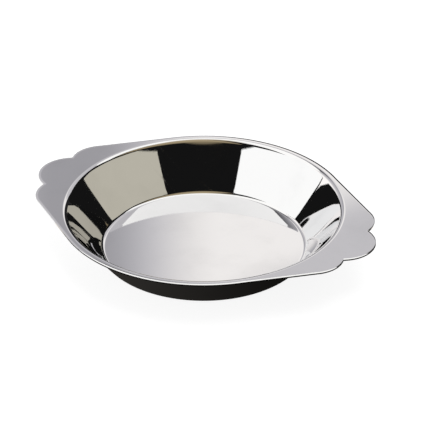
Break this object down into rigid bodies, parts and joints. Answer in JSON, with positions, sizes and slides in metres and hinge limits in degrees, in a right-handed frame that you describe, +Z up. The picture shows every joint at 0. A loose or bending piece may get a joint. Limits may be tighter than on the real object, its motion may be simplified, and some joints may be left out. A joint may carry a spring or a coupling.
{
  "type": "rarebit dish",
  "caption": "Round shallow dish pressed from one polished sheet, with a sloped wall, a narrow rim and a flat scalloped ear at each end for lifting.",
  "frame": {"origin": "centre of the flat underside that the dish rests on", "axes": "+X along the ears, +Z up through the bowl's mouth, +Y across the dish"},
  "size_m": [0.2008, 0.1596, 0.0254],
  "materials": {
    "polished_steel": "mirror-polished stainless steel"
  },
  "bodies": {
    "root": {"dish": "polished_steel"}
  },
  "joints": []
}
